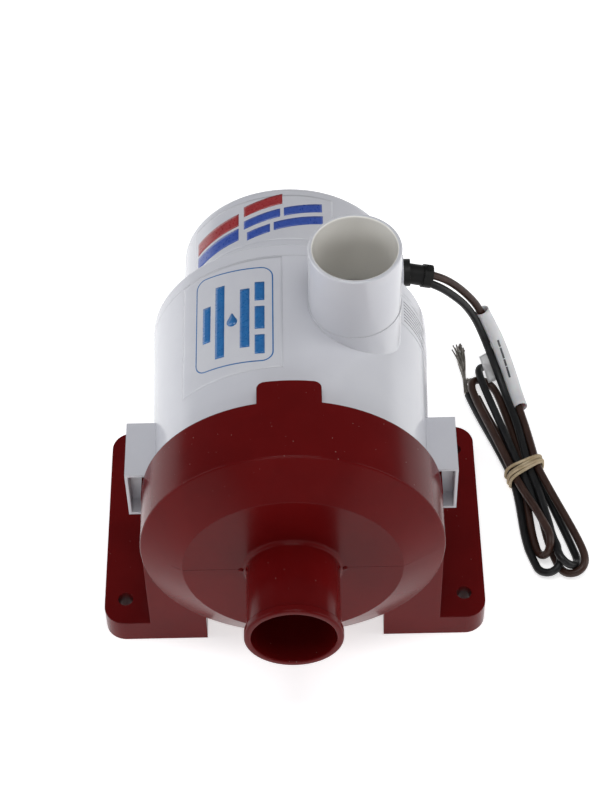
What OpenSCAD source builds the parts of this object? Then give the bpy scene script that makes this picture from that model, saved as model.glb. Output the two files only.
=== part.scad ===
// General-purpose centrifugal pump for a boat's bilge, livewell or washdown line.
// The pump lies on two feet with its axis horizontal. X runs to the right, Y runs from the
// inlet towards the motor and Z runs up. The origin is the middle of the four mounting holes,
// on the surface that the feet stand on. Every Y below is measured from the cover's front
// rim, and at_front() moves the part to the origin.

/* [Cover and inlet] */
// Radius of the red front cover
cover_r = 62.5; // [60:0.5:66]
// Radius of the flat face on the cover
face_r = 45; // [38:0.5:50]
// How far the flat face stands in front of the rim
face_d = 9.5; // [6:0.5:14]
// Depth of the cover's skirt behind the rim
skirt_d = 28; // [24:0.5:28]
// Wall of the conical front
cover_wall = 3; // [2:0.5:4]
// Width of the key tab on top of the skirt
tab_w = 26; // [16:1:32]
// Length of the key tab behind the skirt
tab_l = 10; // [6:0.5:14]

/* [Hose ports] */
// Outer radius of both hose spigots
port_r = 19; // [18.5:0.05:19.2]
// Bore radius of both hose spigots
bore_r = 17.2; // [15:0.1:17.6]
// Length of the inlet spigot in front of the flat face
spigot_l = 34; // [28:1:40]
// Height of the bead at the inlet's mouth
bead_h = 1; // [0.5:0.1:1.5]
// Length of the bead at the inlet's mouth
bead_l = 3.6; // [3:0.1:5]
// Distance of the discharge from the pump's axis
discharge_x = 27.5; // [22:0.5:30]
// Position of the discharge behind the front rim
discharge_y = 81.5; // [78:0.5:83]
// Height of the discharge's mouth
discharge_z = 158; // [150:1:165]

/* [Feet] */
// Height of the pump's axis
axis_h = 66; // [64:0.5:72]
// Distance of a foot's outer edge from the middle
foot_x = 82; // [80:0.5:86]
// Distance of a foot's inner edge from the middle
foot_in = 38; // [34:0.5:42]
// Thickness of a foot
foot_t = 12.3; // [10:0.1:14]
// Position of the feet's rear end
foot_end = 104; // [98:1:108]
// Radius of a mounting hole
hole_r = 3.2; // [2.7:0.1:3.5]
// Distance between the left and right holes
hole_dx = 146; // [144:1:148]
// Distance between the front and rear holes
hole_dy = 78; // [70:1:80]

/* [Housing] */
// Outer radius of the white housing
body_r = 58; // [57.5:0.1:58]
// Outer radius at the seam, where the shell has widened
seam_r = 59.8; // [58:0.1:60.5]
// Wall of the white housing
body_wall = 3.5; // [3:0.1:3.5]
// Position of the seam between the housing and the motor cap
seam_y = 108; // [106:1:110]
// Length of the motor cap's flange ring
rim_l = 7; // [5:0.5:9]
// Outer radius of the motor cap
cap_r = 47; // [45.5:0.5:48]
// Position of the motor cap's rear face
cap_end = 161; // [158:1:166]
// Distance of an ear's outer wall from the middle
ear_x = 69; // [67:0.5:70]
// Height of an ear
ear_h = 27; // [24:0.5:30]

/* [Leads] */
// Diameter of each lead
lead_d = 3.6; // [3:0.1:4]
// Height of the lead hank
hank_h = 9; // [7:0.5:12]

/* [Hidden] */

$fn = 96;
gap = 0.3;
through = 1;
hole_y = 13;
foot_start = 0.5;
foot_wall = 3;
foot_corner = 9;
web_x = cover_r - 0.5;
skirt_in = body_r + 0.5;
mouth_y = -face_d - spigot_l;
cone_slope = face_d / (cover_r - face_r);
cone_angle = atan(cone_slope);
tray_top = foot_t - foot_wall;
boss_r = 6.6;
inner_r = body_r - body_wall;
ear_wall = 1.3;
ear_y0 = skirt_d + 1;
ear_y1 = 56.5;
pocket_d = 7.5;
finger_t = 1.6;
finger_out = cover_r - 0.1;
finger_in = finger_out - finger_t;
finger_root = 22;
finger_h = 13;
finger_end = 42;
hook_h = 1.6;
partition_y = ear_y0 + pocket_d;
partition_t = 1.5;
plate_y = 14;
plate_t = 3;
eye_r = 18;
impeller_r = 36;
impeller_y0 = 18;
impeller_y1 = 33;
hub_r = 7;
shaft_r = 4;
shaft_y0 = 20;
shaft_y1 = 145;
can_front = 36;
can_r = 44;
can_wall = 2.5;
seal_r = 10;
motor_r = can_r - can_wall - gap;
motor_wall = 2.5;
motor_y0 = 50;
motor_y1 = 142;
end_t = 4;
core_r = 31.8;
core_y0 = 64;
core_y1 = 112;
slots = 12;
slot_r = 3.4;
slot_ring_r = 25;
commutator_r = 12;
commutator_y0 = 121;
commutator_y1 = 133.5;
bush_r = 8;
running = 0.04;
bolt_x = 33.5;
bolt_z = 12;
brush_y = 127;
brush_h = 5.6;
brush_w = 6.6;
holder_wall = 1;
holder_x0 = 15;
holder_x1 = 36;
cap_wall = 2.4;
grommet_y = 151;
grommet_x = 51.5;
grommet_tilt = 14;
lead_sides = 8;
band_at = [105, 84];
hank_top = [90, 136];
hank_low = [118, 37];
band_l = 9;
band_t = 1.2;
hank_z = band_t;

// Lead routes, from the grommet's clamp to the hank. X, Y from the front rim and Z.
brown_route = [
    [63, 150.5, 65], [68.5, 152, 61], [74, 153.5, 55.5], [80, 154.5, 48], [86, 154.5, 39],
    [90.5, 152.5, 30], [95.5, 147.5, 20.5], [100, 139, 11.5], [103.5, 128, 5.5], [105.5, 116, 4.5],
    [106.5, 104, 5]
];
black_route = [
    [63, 149, 61], [68.5, 149.5, 57], [74, 150.5, 51], [80, 151.5, 43], [85, 151.5, 34],
    [89, 149.5, 25], [93, 144.5, 16], [97, 135.5, 9], [100.5, 124, 5.5], [102.5, 113, 5],
    [103.5, 104, 5]
];
sleeve_route = [[90.5, 152.5, 30], [95.5, 147.5, 20.5], [100, 139, 11.5], [103.5, 128, 5.5]];
black_end_route = [[82, 133, 4], [80.5, 139, 4.5], [79.5, 148, 5], [79, 162, 5]];
brown_end_route = [[84, 132, 6], [82.5, 138, 6.5], [81.5, 143, 7]];
inner_brown_route = [[42, 151, 68], [38, 151.5, 69], [34, 151, 71], [30, 149, 71.8]];
inner_black_route = [
    [42, 151, 63.5], [32, 153, 60], [15, 154, 58], [-5, 154, 60], [-20, 153, 66], [-30, 149, 71.8]
];

// ---- Helpers ----

module at_front()
    translate([0, -hole_y - hole_dy / 2, 0]) children();

// Turns a shape whose height runs along Z so that it runs along +Y on the pump's axis.
module on_axis(y = 0)
    translate([0, y, axis_h]) rotate([-90, 0, 0]) children();

module ring(y0, y1, r_out, r_in)
    on_axis(y0) difference() {
        cylinder(h = y1 - y0, r = r_out);
        translate([0, 0, -through]) cylinder(h = y1 - y0 + 2 * through, r = r_in);
    }

module disc(y0, y1, r)
    on_axis(y0) cylinder(h = y1 - y0, r = r);

// Extrudes a front view, drawn in X and height above the axis, from y0 to y1.
module front_view(y0, y1)
    translate([0, y1, axis_h]) rotate([90, 0, 0]) linear_extrude(y1 - y0) children();

// A rod along Y at a place given in X and height above the axis.
module rod(y0, y1, r, x, z)
    translate([x, 0, z]) on_axis(y0) cylinder(h = y1 - y0, r = r);

module block(low, high)
    translate(low) cube(high - low);

function arc(c, r, a0, a1, n = 5) =
    [for (i = [0:n]) let(a = a0 + (a1 - a0) * i / n) c + r * [cos(a), sin(a)]];

function unit(v) = v / norm(v);

// Direction of a route at point i, from its neighbours.
function heading(route, i) =
    unit(route[min(i + 1, len(route) - 1)] - route[max(i - 1, 0)]);

// A point on a smooth curve through the route, t running over its spans.
function on_route(route, t) =
    let(
        i = min(floor(t), len(route) - 2), u = t - i,
        p = route[i], q = route[i + 1],
        m = (q - route[max(i - 1, 0)]) / 2, n = (route[min(i + 2, len(route) - 1)] - p) / 2
    )
    p * (2 * u ^ 3 - 3 * u ^ 2 + 1) + m * (u ^ 3 - 2 * u ^ 2 + u)
        + q * (3 * u ^ 2 - 2 * u ^ 3) + n * (u ^ 3 - u ^ 2);

// A tube of one radius, swept along a route.
module tube(route, r, sides = lead_sides, per_span = 1) {
    count = (len(route) - 1) * per_span;
    path = [for (k = [0:count]) on_route(route, k / per_span)];
    points = [
        for (k = [0:count]) let(
            d = heading(path, k),
            side = unit(cross(d, [0.13, 0.2, 0.97])), up = cross(side, d)
        )
        for (j = [0:sides - 1]) path[k] + r * (cos(360 * j / sides) * side + sin(360 * j / sides) * up)
    ];
    faces = concat(
        [[for (j = [0:sides - 1]) j]],
        [for (k = [0:count - 1], j = [0:sides - 1], half = [0, 1])
            let(a = k * sides + j, b = k * sides + (j + 1) % sides)
            half == 0 ? [a, a + sides, b + sides] : [a, b + sides, b]],
        [[for (j = [0:sides - 1]) count * sides + sides - 1 - j]]
    );
    polyhedron(points, faces, convexity = 10);
}

// ---- Red front cover, with its inlet spigot and feet ----

module cover_profile() {
    inner_face = -face_d + cover_wall;
    inner_cone = cover_wall / cos(cone_angle);
    edge_r = 1;
    bead_r = port_r + bead_h;
    root_r = 2;
    lip_r = 0.6;
    polygon(concat(
        [[bore_r, inner_face]],
        arc([bore_r + lip_r, mouth_y + lip_r], lip_r, 180, 270),
        arc([bead_r - edge_r, mouth_y + edge_r], edge_r, 270, 360),
        arc([bead_r - edge_r / 2, mouth_y + bead_l - edge_r / 2], edge_r / 2, 0, 90),
        [[port_r, mouth_y + bead_l]],
        arc([port_r + root_r, -face_d - root_r], root_r, 180, 90),
        [[face_r, -face_d]],
        arc([cover_r - edge_r, edge_r * tan(45 - cone_angle / 2)], edge_r, cone_angle - 90, 0),
        arc([cover_r - edge_r, skirt_d - edge_r], edge_r, 0, 90),
        [
            [skirt_in, skirt_d],
            [skirt_in, -face_d + inner_cone + cone_slope * (skirt_in - face_r)],
            [face_r + (inner_face + face_d - inner_cone) / cone_slope, inner_face]
        ]
    ));
}

// Key tab that carries the skirt's curve backwards on top, with rounded rear corners.
module key_tab() {
    corner = 3;
    intersection() {
        ring(skirt_d - 2, skirt_d + tab_l, cover_r, skirt_in);
        translate([0, 0, axis_h]) linear_extrude(cover_r + 1) {
            translate([-tab_w / 2, skirt_d - 3]) square([tab_w, tab_l + 3 - corner]);
            translate([-tab_w / 2 + corner, skirt_d - 3]) square([tab_w - 2 * corner, tab_l + 3]);
            for (s = [-1, 1])
                translate([s * (tab_w / 2 - corner), skirt_d + tab_l - corner]) circle(corner);
        }
    }
}

module foot_outline(inset = 0) {
    r = foot_corner - inset;
    x1 = foot_x - inset;
    y0 = foot_start + inset;
    y1 = foot_end - inset;
    translate([foot_in + inset, y0]) square([x1 - r - foot_in - inset, y1 - y0]);
    translate([x1 - r - through, y0 + r]) square([r + through, y1 - y0 - 2 * r]);
    for (y = [y0 + r, y1 - r]) translate([x1 - r, y]) circle(r);
}

// Right-hand foot: a hollow tray, the web up to the skirt and a saddle rib under the housing.
module foot() {
    web_end = skirt_d - gap;
    saddle_y = 88;
    saddle_r = seam_r + 0.2;
    difference() {
        union() {
            linear_extrude(foot_t) foot_outline();
            block([foot_in, foot_start, 0], [web_x, web_end, axis_h]);
            block([foot_in + foot_wall, saddle_y, tray_top], [web_x - foot_wall, saddle_y + foot_wall, 38]);
        }
        difference() {
            translate([0, 0, -through]) linear_extrude(tray_top + through) foot_outline(foot_wall);
            for (y = [hole_y, hole_y + hole_dy]) translate([hole_dx / 2, y, -2 * through])
                cylinder(h = foot_t, r = boss_r);
        }
        block([foot_in + foot_wall, foot_start + foot_wall, foot_t],
            [web_x - foot_wall, web_end + through, axis_h + through]);
        for (y = [hole_y, hole_y + hole_dy]) translate([hole_dx / 2, y, -2 * through])
            cylinder(h = foot_t + 4 * through, r = hole_r);
        disc(-face_d, skirt_d, cover_r - 1);
        disc(skirt_d - through, foot_end, saddle_r);
    }
}

// Window that frees a latch finger, with a wedge above and below its root.
module latch_window() {
    half = finger_h / 2 + gap;
    wedge_z = 7;
    wedge_y = 6;
    block([skirt_in - 2, finger_root, axis_h - half], [cover_r + 2, skirt_d + through, axis_h + half]);
    for (s = [-1, 1]) translate([skirt_in - 2, skirt_d, axis_h]) scale([1, 1, s])
        rotate([90, 0, 90]) linear_extrude(10)
            polygon([[through, half - through], [through, half + wedge_z], [-wedge_y, half - through]]);
}

module base_cover() color("darkred") at_front()
    difference() {
        union() {
            on_axis() rotate_extrude() cover_profile();
            key_tab();
            foot();
            mirror([1, 0, 0]) foot();
        }
        latch_window();
        mirror([1, 0, 0]) latch_window();
    }

// Springy tongue that runs from the skirt into the housing's ear and hooks behind its partition.
module latch_finger() {
    hook_y = partition_y + partition_t + gap;
    translate([0, 0, axis_h - finger_h / 2]) linear_extrude(finger_h) polygon([
        [finger_in, finger_root], [finger_out, finger_root], [finger_out, hook_y],
        [finger_out + hook_h, hook_y], [finger_out + hook_h, hook_y + 1],
        [finger_out, finger_end], [finger_in, finger_end]
    ]);
}

module latch_finger_left() color("darkred") at_front() mirror([1, 0, 0]) latch_finger();

module latch_finger_right() color("darkred") at_front() latch_finger();

// ---- White housing ----

// Ear: a box with a shallow pocket at each end and a slotted partition that the latch hooks behind.
module ear() {
    half = ear_h / 2;
    slot = finger_h / 2 + 0.7;
    root_x = inner_r + 1;
    difference() {
        block([root_x, ear_y0, axis_h - half], [ear_x, ear_y1, axis_h + half]);
        difference() {
            union() {
                block([root_x - 1, ear_y0 - 1, axis_h - half + ear_wall],
                    [ear_x - ear_wall, partition_y, axis_h + half - ear_wall]);
                block([root_x - 1, partition_y + partition_t, axis_h - half + ear_wall],
                    [ear_x - ear_wall, ear_y1 + 1, axis_h + half - ear_wall]);
                block([root_x - 1, partition_y - 1, axis_h - slot],
                    [finger_out + gap, partition_y + partition_t + 1, axis_h + slot]);
            }
            disc(0, seam_y, body_r);
        }
    }
}

module housing_profile() {
    front_y = 6;
    chamfer = 1;
    groove_y = 9;
    groove_w = 3.2;
    groove_r = 55.6;
    seat_r = 52.5;
    step_y = plate_y + plate_t;
    polygon([
        [inner_r, front_y], [body_r - chamfer, front_y], [body_r, front_y + chamfer],
        [body_r, groove_y], [groove_r, groove_y], [groove_r, groove_y + groove_w],
        [body_r, groove_y + groove_w], [body_r, finger_end + 2], [seam_r, seam_y], [inner_r, seam_y],
        [inner_r, step_y + 2], [seat_r, step_y + 2], [seat_r, step_y], [inner_r, step_y]
    ]);
}

// Discharge spigot: a slightly thicker root, a plain barrel and a rounded mouth.
module discharge_outer() {
    root_z = axis_h + body_r + 1;
    edge_r = 0.8;
    translate([discharge_x, discharge_y, 0]) {
        translate([0, 0, axis_h + 20]) cylinder(h = root_z - axis_h - 20, r = port_r + gap);
        rotate_extrude() polygon(concat(
            [[0, root_z - 1], [port_r, root_z - 1]],
            arc([port_r - edge_r, discharge_z - edge_r], edge_r, 0, 90),
            [[0, discharge_z]]
        ));
    }
}

module discharge_bore() {
    full_z = axis_h + 54.5;
    flare = 0.6;
    translate([discharge_x, discharge_y, 0]) {
        translate([0, 0, axis_h + 10]) cylinder(h = full_z - axis_h - 10, r = bore_r + 0.2);
        translate([0, 0, full_z - through]) cylinder(h = discharge_z - full_z + 2 * through, r = bore_r);
        translate([0, 0, discharge_z]) rotate_extrude() polygon(concat(
            [[0, -flare], [bore_r, -flare]],
            arc([bore_r + flare, -flare], flare, 180, 90, 3),
            [[bore_r + flare, 1], [0, 1]]
        ));
    }
}

module pump_housing() color("white") at_front() {
    difference() {
        union() {
            on_axis() rotate_extrude() housing_profile();
            difference() {
                discharge_outer();
                disc(0, seam_y, inner_r);
            }
        }
        discharge_bore();
    }
    ear();
    mirror([1, 0, 0]) ear();
}

module housing_o_ring() color("dimgray") at_front()
    on_axis(10.6) rotate_extrude() translate([57.05, 0]) circle(1.4, $fn = 24);

// ---- Wet end ----

module suction_plate() color("whitesmoke") at_front() on_axis() rotate_extrude() polygon([
    [eye_r, plate_y - 4], [eye_r + 2, plate_y - 4], [eye_r + 2, plate_y],
    [inner_r - gap, plate_y], [inner_r - gap, plate_y + plate_t], [eye_r, plate_y + plate_t]
]);

module vane() {
    bend_r = 19;
    vane_t = 1.8;
    intersection() {
        translate([bend_r, 0]) difference() {
            circle(bend_r + vane_t / 2);
            circle(bend_r - vane_t / 2);
        }
        square([2 * impeller_r, impeller_r]);
        difference() {
            circle(impeller_r - 0.5);
            circle(hub_r - 0.5);
        }
    }
}

module impeller() color("ivory") at_front() {
    vanes = 6;
    back_t = 3;
    bore_y = impeller_y0 + 2;
    ring(impeller_y1 - back_t, impeller_y1, impeller_r, shaft_r);
    ring(bore_y, impeller_y1, hub_r, shaft_r);
    ring(impeller_y0, bore_y, hub_r, 2.1);
    for (i = [0:vanes - 1]) front_view(impeller_y0, impeller_y1 - back_t + 0.1)
        rotate(360 * i / vanes) vane();
}

module impeller_washer() color("silver") at_front()
    ring(impeller_y0 - 0.6, impeller_y0, 5.5, 2.1);

module impeller_screw() color("silver") at_front() difference() {
    union() {
        disc(impeller_y0 - 3.1, impeller_y0 - 0.6, 4);
        disc(impeller_y0 - 1, shaft_y0 + 9, 2);
    }
    on_axis(impeller_y0 - 4) cylinder(h = 2.4, r = 2, $fn = 6);
}

// Ring of slanted vanes that takes the swirl out of the water on its way round the motor.
module diffuser() color("whitesmoke") at_front() {
    vanes = 8;
    y0 = 40;
    y1 = 52;
    ring_in = can_r + 0.2;
    ring_out = ring_in + 1.6;
    ring(y0, y1, ring_out, ring_in);
    intersection() {
        on_axis((y0 + y1) / 2) for (i = [0:vanes - 1]) rotate(360 * i / vanes)
            translate([(ring_out + inner_r) / 2 - 0.5, 0, 0]) rotate([35, 0, 0]) cube([11, 1.6, 16], center = true);
        ring(y0, y1, inner_r - gap, ring_in + 0.5);
    }
}

module shaft_seals() color("black") at_front() {
    seal_l = 4.3;
    first_y = 35.5;
    for (y = [first_y, first_y + seal_l + 0.4]) ring(y, y + seal_l, seal_r, shaft_r + running);
}

module slinger() color("black") at_front()
    ring(47.8, 49, 9, shaft_r);

// ---- Motor ----

module motor_canister() color("whitesmoke") at_front() {
    flange_l = 6;
    boss_y0 = 34.5;
    boss_y1 = 47;
    flange_r = inner_r - gap;
    on_axis() rotate_extrude() polygon([
        [seal_r, boss_y0], [14, boss_y0], [14, can_front], [can_r, can_front],
        [can_r, seam_y - flange_l], [flange_r, seam_y - flange_l], [flange_r, seam_y - 4.4],
        [52.1, seam_y - 4.4], [52.1, seam_y - 1.8], [flange_r, seam_y - 1.8],
        [flange_r, seam_y], [can_r - can_wall, seam_y], [can_r - can_wall, can_front + can_wall],
        [14, can_front + can_wall], [14, boss_y1], [5, boss_y1], [5, boss_y1 - 2], [seal_r, boss_y1 - 2]
    ]);
}

module canister_o_ring() color("dimgray") at_front()
    on_axis(seam_y - 3.1) rotate_extrude() translate([53.3, 0]) circle(1.15, $fn = 24);

module shaft() color("silver") at_front() difference() {
    disc(shaft_y0, shaft_y1, shaft_r);
    disc(shaft_y0 - through, shaft_y0 + 10, 2);
}

module bolt_holes()
    for (s = [-1, 1]) rod(motor_y0 - 1, motor_y1 + 1, 2.2, s * bolt_x, s * bolt_z);

module front_end_plate() color("silver") at_front() difference() {
    union() {
        disc(motor_y0, motor_y0 + end_t, motor_r);
        disc(motor_y0, motor_y0 + 11, 11);
    }
    disc(motor_y0 - 1, motor_y0 + 12, bush_r);
    bolt_holes();
}

module front_bush() color("goldenrod") at_front()
    ring(motor_y0, motor_y0 + 10, bush_r, shaft_r + running);

module thrust_washers() color("silver") at_front() {
    ring(motor_y0 + 11.4, motor_y0 + 12.4, 7.5, shaft_r);
    ring(commutator_y1 + 0.1, commutator_y1 + 1, 7.5, shaft_r);
}

module flux_can() color("gray") at_front()
    ring(motor_y0 + end_t, motor_y1 - end_t, motor_r, motor_r - motor_wall);

module magnets() color("dimgray") at_front() {
    outer = motor_r - motor_wall - gap;
    for (s = [-1, 1]) front_view(core_y0 - 2, core_y1 + 2) intersection() {
        difference() {
            circle(outer);
            circle(core_r + 0.8);
        }
        polygon([[0, 0], [s * 70, s * 40], [0, s * 90], [-s * 70, s * 40]]);
    }
}

module slot_places()
    for (i = [0:slots - 1]) rotate(360 * (i + 0.5) / slots) translate([slot_ring_r, 0]) children();

module armature_core() color("gray") at_front() front_view(core_y0, core_y1) difference() {
    circle(core_r);
    circle(shaft_r);
    slot_places() circle(slot_r, $fn = 32);
    slot_places() translate([0, -1.1]) square([core_r, 2.2]);
}

module windings() color("peru") at_front() {
    wire_gap = 0.2;
    turn_l = 7.5;
    turn_in = 12.5;
    turn_out = 30;
    ring(core_y0 - turn_l, core_y0 - wire_gap, turn_out, turn_in);
    ring(core_y1 + wire_gap, core_y1 + turn_l, turn_out, turn_in);
    front_view(core_y0 - turn_l / 2, core_y1 + turn_l / 2) slot_places()
        circle(slot_r - wire_gap, $fn = 32);
}

module commutator() color("peru") at_front() difference() {
    ring(commutator_y0, commutator_y1, commutator_r, shaft_r);
    for (i = [0:slots / 2 - 1]) front_view(commutator_y0 + 2, commutator_y1 + 1)
        rotate(360 * i / slots) difference() {
            square([2 * commutator_r + 2, 0.6], center = true);
            circle(commutator_r - 1.5);
        }
}

// The two brushes, their springs and holders lie on the commutator's left and right.
module both_sides() {
    children();
    mirror([1, 0, 0]) children();
}

module brushes() color("black") at_front() both_sides() difference() {
    block([commutator_r - 1, brush_y - brush_w / 2, axis_h - brush_h / 2],
        [24, brush_y + brush_w / 2, axis_h + brush_h / 2]);
    disc(brush_y - 10, brush_y + 10, commutator_r + 0.1);
}

module brush_springs() color("silver") at_front() both_sides() {
    turns = 5;
    steps = 10;
    coil = [
        for (k = [0:turns * steps]) let(a = 360 * k / steps)
        [24.6 + 9.6 * k / (turns * steps), brush_y + 2.1 * cos(a), axis_h + 2.1 * sin(a)]
    ];
    tube(coil, 0.35, 5);
}

module brush_holders() color("goldenrod") at_front() both_sides() {
    half_w = brush_w / 2 + 0.15;
    half_h = brush_h / 2 + 0.15;
    difference() {
        union() {
            block([holder_x0, brush_y - half_w - holder_wall, axis_h - half_h - holder_wall],
                [holder_x1, brush_y + half_w + holder_wall, axis_h + half_h + holder_wall]);
            block([holder_x0 + 4, brush_y + half_w, axis_h - half_h],
                [holder_x1 - 4, motor_y1 - end_t, axis_h + half_h]);
        }
        block([holder_x0 - 1, brush_y - half_w, axis_h - half_h],
            [holder_x1 - 1, brush_y + half_w, axis_h + half_h]);
    }
}

module terminal_slots(grow = 0)
    both_sides() block([27 - grow, motor_y1 - end_t - 12, axis_h + 4.2 - grow],
        [33 + grow, motor_y1 + 6, axis_h + 5 + grow]);

module terminals() color("goldenrod") at_front() terminal_slots();

module rear_end_bell() color("silver") at_front() difference() {
    union() {
        disc(motor_y1 - end_t, motor_y1, motor_r);
        disc(motor_y1 - 7, motor_y1, 11);
    }
    disc(motor_y1 - 8, motor_y1 + 1, bush_r);
    bolt_holes();
    terminal_slots(0.5);
}

module rear_bush() color("goldenrod") at_front()
    ring(motor_y1 - 7, motor_y1, bush_r, shaft_r + running);

module through_bolts() color("silver") at_front() for (s = [-1, 1]) {
    rod(motor_y0 - 2.5, motor_y1 + 2.5, 2, s * bolt_x, s * bolt_z);
    rod(motor_y1, motor_y1 + 2.5, 3.4, s * bolt_x, s * bolt_z);
    translate([s * bolt_x, 0, s * bolt_z]) on_axis(motor_y0 - 2.5)
        cylinder(h = 2.5, r = 3.6, $fn = 6);
}

module internal_lead_brown() color("saddlebrown") at_front()
    tube(inner_brown_route, 1.2);

module internal_lead_black() color("black") at_front()
    tube(inner_black_route, 1.2);

// ---- Motor cap and cable entry ----

module cap_profile() {
    corner = 3.5;
    edge_r = 1.5;
    inner = cap_r - cap_wall;
    polygon(concat(
        [[inner, seam_y]],
        [[seam_r, seam_y]],
        arc([seam_r - edge_r, seam_y + rim_l - edge_r], edge_r, 0, 90),
        [[cap_r, seam_y + rim_l]],
        arc([cap_r - corner, cap_end - corner], corner, 0, 90, 8),
        [[0, cap_end], [0, cap_end - cap_wall], [inner - corner + cap_wall, cap_end - cap_wall]],
        [[inner, cap_end - corner]]
    ));
}

module motor_cap() color("white") at_front() difference() {
    union() {
        on_axis() rotate_extrude() cap_profile();
        difference() {
            translate([cap_r - 8, grommet_y, axis_h]) rotate([0, 90, 0])
                cylinder(h = grommet_x - cap_r + 8, r = 8);
            disc(seam_y, cap_end, cap_r - cap_wall);
        }
    }
    translate([30, grommet_y, axis_h]) rotate([0, 90, 0]) cylinder(h = 30, r = 5);
}

// Places a shape at the grommet's flange with its height along +X.
module at_grommet(tilt = 0)
    translate([grommet_x, grommet_y, axis_h]) rotate([0, 90 + tilt, 0]) children();

module cable_grommet() color("black") at_front() {
    stem_in = 9.5;
    at_grommet() {
        translate([0, 0, -stem_in]) cylinder(h = stem_in + 1, r = 4.9);
        cylinder(h = 3.1, r = 6.2);
    }
    at_grommet(grommet_tilt) translate([0, 0, 1]) cylinder(h = 8, r = 4.7);
}

module grommet_clamp() color("black") at_front() at_grommet(grommet_tilt) translate([0, 0, 9]) {
    cylinder(h = 4.2, r = 5.3);
    translate([-6, -1.6, 1]) cube([3, 3.2, 2]);
}

// ---- Leads ----

module lead_brown() color("saddlebrown") at_front() tube(brown_route, lead_d / 2, per_span = 2);

module lead_black() color("black") at_front() tube(black_route, lead_d / 2, per_span = 2);

// Outer shape of the folded leads: two tapering lobes with round ends, waisted at the band.
module lead_hank() color("black") at_front() translate([0, 0, hank_z]) linear_extrude(hank_h) {
    hull() {
        translate(hank_top) circle(10, $fn = 32);
        translate(band_at) circle(9, $fn = 32);
    }
    hull() {
        translate(band_at) circle(9, $fn = 32);
        translate(hank_low) circle(12.5, $fn = 32);
    }
}

module label_sleeve() color("white") at_front() tube(sleeve_route, 2.8, 10, 2);

module rubber_band() color("tan") at_front() {
    across = atan2(hank_low[1] - hank_top[1], hank_low[0] - hank_top[0]);
    inner = 10;
    outer = inner + band_t;
    translate([band_at[0], band_at[1], 0]) rotate(across) translate([-band_l / 2, 0, 0]) difference() {
        translate([0, -outer, 0]) cube([band_l, 2 * outer, hank_h + 2 * band_t]);
        translate([-1, -inner, band_t]) cube([band_l + 2, 2 * inner, hank_h]);
    }
}

module bare_ends() color("silver") at_front() {
    tube(black_end_route, 1.5, per_span = 2);
    tube(brown_end_route, 1.3, per_span = 2);
}

base_cover();
latch_finger_left();
latch_finger_right();
pump_housing();
housing_o_ring();
suction_plate();
impeller();
impeller_washer();
impeller_screw();
diffuser();
motor_canister();
canister_o_ring();
shaft_seals();
slinger();
shaft();
front_end_plate();
front_bush();
thrust_washers();
flux_can();
magnets();
armature_core();
windings();
commutator();
brushes();
brush_springs();
brush_holders();
rear_end_bell();
rear_bush();
through_bolts();
terminals();
internal_lead_brown();
internal_lead_black();
motor_cap();
cable_grommet();
grommet_clamp();
lead_brown();
lead_black();
lead_hank();
label_sleeve();
rubber_band();
bare_ends();
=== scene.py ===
"""General-purpose bilge pump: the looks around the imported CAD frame.

X runs to the right, Y runs from the inlet towards the motor and Z runs up, in metres. The pump's
axis is horizontal, AXIS_Z above the floor. Y values marked "from the rim" are measured from the
front rim of the red cover, as in the CAD source, and from_rim() moves them to the frame.
"""

import math

import bmesh
import bpy
import numpy as np
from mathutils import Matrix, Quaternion, Vector


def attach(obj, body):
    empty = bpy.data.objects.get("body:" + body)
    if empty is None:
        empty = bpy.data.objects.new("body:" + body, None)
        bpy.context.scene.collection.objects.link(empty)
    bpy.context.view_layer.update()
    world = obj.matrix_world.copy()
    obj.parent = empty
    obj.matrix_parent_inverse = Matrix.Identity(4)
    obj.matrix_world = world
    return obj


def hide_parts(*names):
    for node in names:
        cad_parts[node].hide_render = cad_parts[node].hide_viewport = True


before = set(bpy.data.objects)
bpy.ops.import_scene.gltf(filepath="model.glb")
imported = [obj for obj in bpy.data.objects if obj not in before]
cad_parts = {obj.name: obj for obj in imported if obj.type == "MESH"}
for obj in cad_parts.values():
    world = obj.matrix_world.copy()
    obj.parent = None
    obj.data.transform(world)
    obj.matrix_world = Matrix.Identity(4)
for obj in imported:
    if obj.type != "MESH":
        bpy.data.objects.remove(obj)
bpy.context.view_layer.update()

MM = 0.001
RIM_Y = -0.052
AXIS_Z = 0.066
BODY_R = 0.058
SEAM_R = 0.0598
SEAM_Y = 0.108
TAPER_Y = 0.044
CAP_R = 0.047
BORE_R = 0.0172
DISCHARGE_X = 0.0275
DISCHARGE_Y = 0.0815
FACE_R = 0.045
COVER_R = 0.0625
FACE_Y = -0.0095
PORT_R = 0.019

# ---- Camera ----

CAMERA_TARGET = Vector((0.00411, 0.00557, 0.09157))
CAMERA_AZIMUTH = 0.41
CAMERA_ELEVATION = 51.11
CAMERA_ROLL = -1.49
CAMERA_DISTANCE = 0.9072
CAMERA_LENS = 65.39
CAMERA_NEAR = 0.05
SENSOR_HEIGHT = 24


def make_camera():
    data = bpy.data.cameras.new("camera")
    data.sensor_fit = "VERTICAL"
    data.sensor_height = SENSOR_HEIGHT
    data.lens = CAMERA_LENS
    data.clip_start = CAMERA_NEAR
    camera = bpy.data.objects.new("camera", data)
    bpy.context.scene.collection.objects.link(camera)
    azimuth, elevation = math.radians(CAMERA_AZIMUTH), math.radians(CAMERA_ELEVATION)
    away = Vector((
        math.sin(azimuth) * math.cos(elevation),
        -math.cos(azimuth) * math.cos(elevation),
        math.sin(elevation),
    ))
    camera.location = CAMERA_TARGET + CAMERA_DISTANCE * away
    camera.rotation_mode = "QUATERNION"
    roll = Quaternion((0, 0, 1), math.radians(CAMERA_ROLL))
    camera.rotation_quaternion = (-away).to_track_quat("-Z", "Y") @ roll
    bpy.context.scene.camera = camera


make_camera()

# ---- Helpers ----

SAME_POINT = 1e-7


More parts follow.
